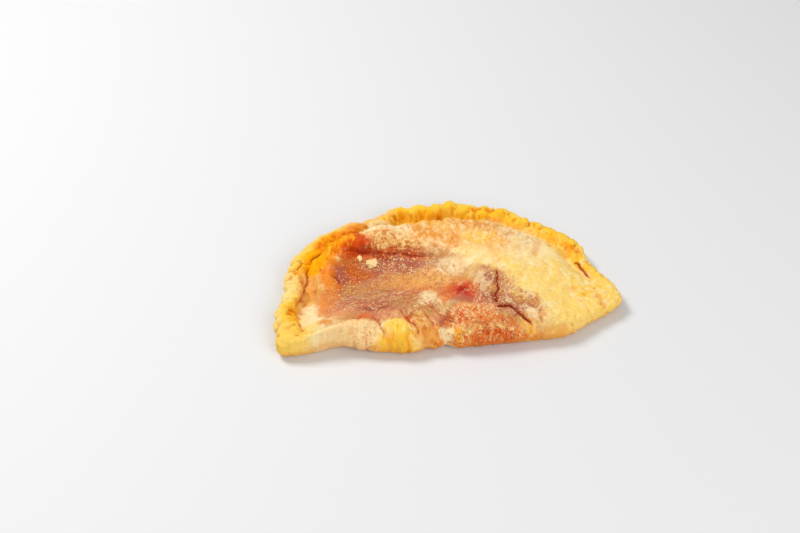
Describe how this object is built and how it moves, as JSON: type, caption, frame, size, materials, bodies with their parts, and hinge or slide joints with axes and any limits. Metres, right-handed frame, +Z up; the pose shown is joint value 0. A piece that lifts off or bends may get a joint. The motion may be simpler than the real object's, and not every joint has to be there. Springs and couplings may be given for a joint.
{
  "type": "panzerotto",
  "caption": "Baked half-moon turnover of stuffed dough with a crimped rope edge, a folded front and a slack, sunken middle.",
  "frame": {"origin": "on the flat resting face, under the middle of the turnover's outline box", "axes": "+X along the folded edge, towards the pointed pale end; +Y from the fold to the crimped arc; +Z up"},
  "size_m": [0.204, 0.123, 0.0254],
  "materials": {
    "baked_crust": "satin, slightly oily baked dough, mottled"
  },
  "bodies": {
    "root": {"panzerotto": "baked_crust"}
  },
  "joints": []
}
